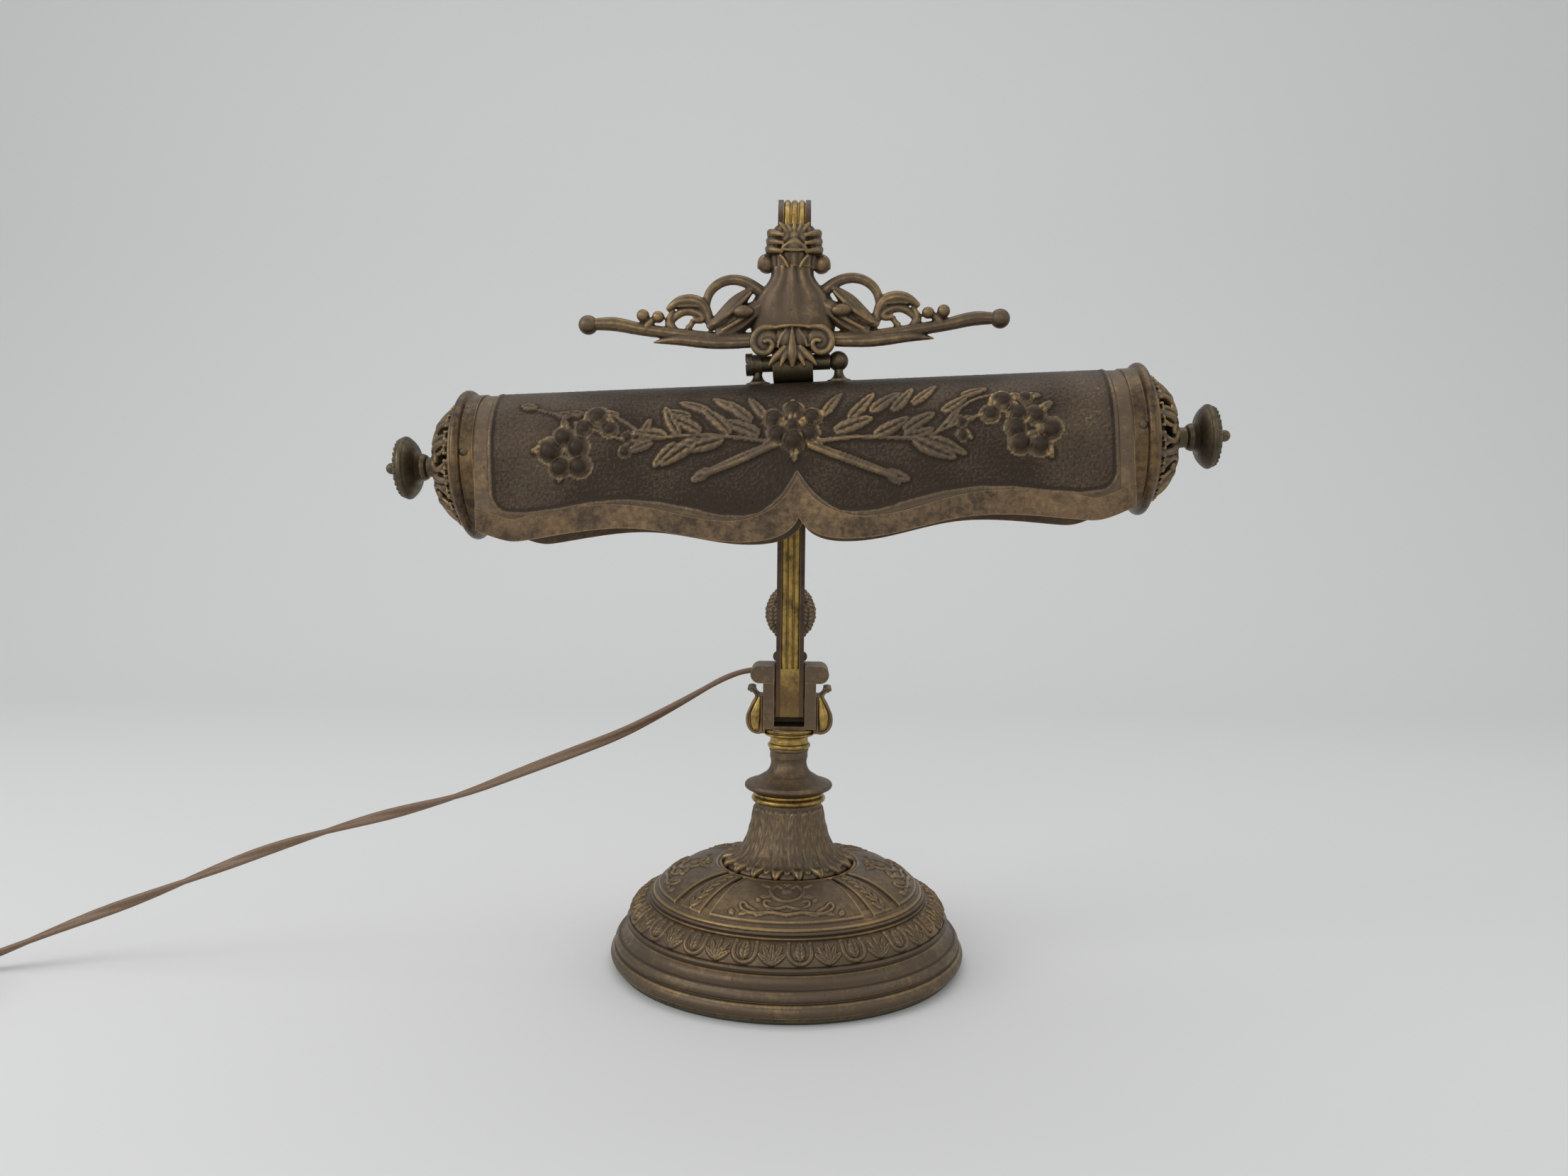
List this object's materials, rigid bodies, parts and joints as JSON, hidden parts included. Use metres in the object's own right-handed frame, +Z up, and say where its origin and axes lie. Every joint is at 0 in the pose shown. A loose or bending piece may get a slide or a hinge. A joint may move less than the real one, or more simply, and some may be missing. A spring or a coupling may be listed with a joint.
{
  "type": "desk lamp",
  "caption": "Desk lamp with a round weighted foot, a gooseneck arm that tilts in a fork, and a long half-round metal shade that swivels under a scroll bracket.",
  "frame": {"origin": "centre of the foot's underside, on the table", "axes": "+Z up, -Y to the front where the shade hangs, +X to the right seen from the front"},
  "size_m": [0.6468, 0.2808, 0.365],
  "materials": {
    "felt": "matte felt",
    "steel": "plain steel",
    "iron": "raw cast",
    "patina": "dark brown patina over gilt, satin",
    "gold": "rubbed gilt, satin",
    "dark": "dark bronze, satin",
    "copper": "worn copper-coloured band, satin",
    "fibre": "pressed fibre",
    "moulded": "moulded black",
    "socket": "drawn shell",
    "glass": "frosted",
    "cable": "brown flex",
    "plug": "brown moulded"
  },
  "bodies": {
    "foot": {"felt_pad": "felt", "bottom_plate": "steel", "plate_screws": "steel", "base_weight": "iron", "base_shell": "patina", "tie_rod": "steel", "rod_washer": "steel", "rod_nut": "steel", "leaf_cone": "patina", "cone_ring": "gold", "vase_neck": "patina", "neck_ring": "gold", "neck_sleeve": "patina", "fork": "patina", "pivot_pin": "steel", "friction_washers": "fibre", "cord_bushing": "moulded", "cord": "cable", "cord_coil": "cable", "plug_relief": "cable", "plug_body": "plug", "plug_blades": "socket"},
    "arm": {"arm": "gold", "arm_lead": "cable", "tail_stem": "patina", "rear_bud": "patina", "leaf_cup": "patina", "bracket": "patina", "tip_balls": "patina", "hinge_knuckle": "patina", "palmette": "patina"},
    "shade": {"shade_shell": "patina", "rim_band": "copper", "end_ring_left": "patina", "end_ring_right": "patina", "end_cap_left": "gold", "end_cap_right": "gold", "band_rivets": "patina", "hinge_posts": "patina", "hinge_screw": "patina", "hinge_spacers": "patina", "finial_left": "dark", "finial_nut": "steel", "switch_body": "moulded", "lamp_socket": "socket", "socket_insert": "fibre", "bulb_cap": "socket", "bulb_glass": "glass"},
    "switch": {"finial_right": "dark"}
  },
  "joints": [
    {"name": "arm_tilt", "type": "hinge", "parent": "foot", "child": "arm", "pos_m": [0, 0, 0.132], "axis": [1, 0, 0], "range_deg": [0, 25]},
    {"name": "shade_swivel", "type": "hinge", "parent": "arm", "child": "shade", "pos_m": [0, -0.09, 0.2935], "axis": [0.9983, -0.0305, 0.0488], "range_deg": [-18, 60]},
    {"name": "switch_turn", "type": "hinge", "parent": "shade", "child": "switch", "pos_m": [0.16405, -0.09683, 0.26303], "axis": [0.9983, -0.0305, 0.0488], "continuous": true}
  ]
}
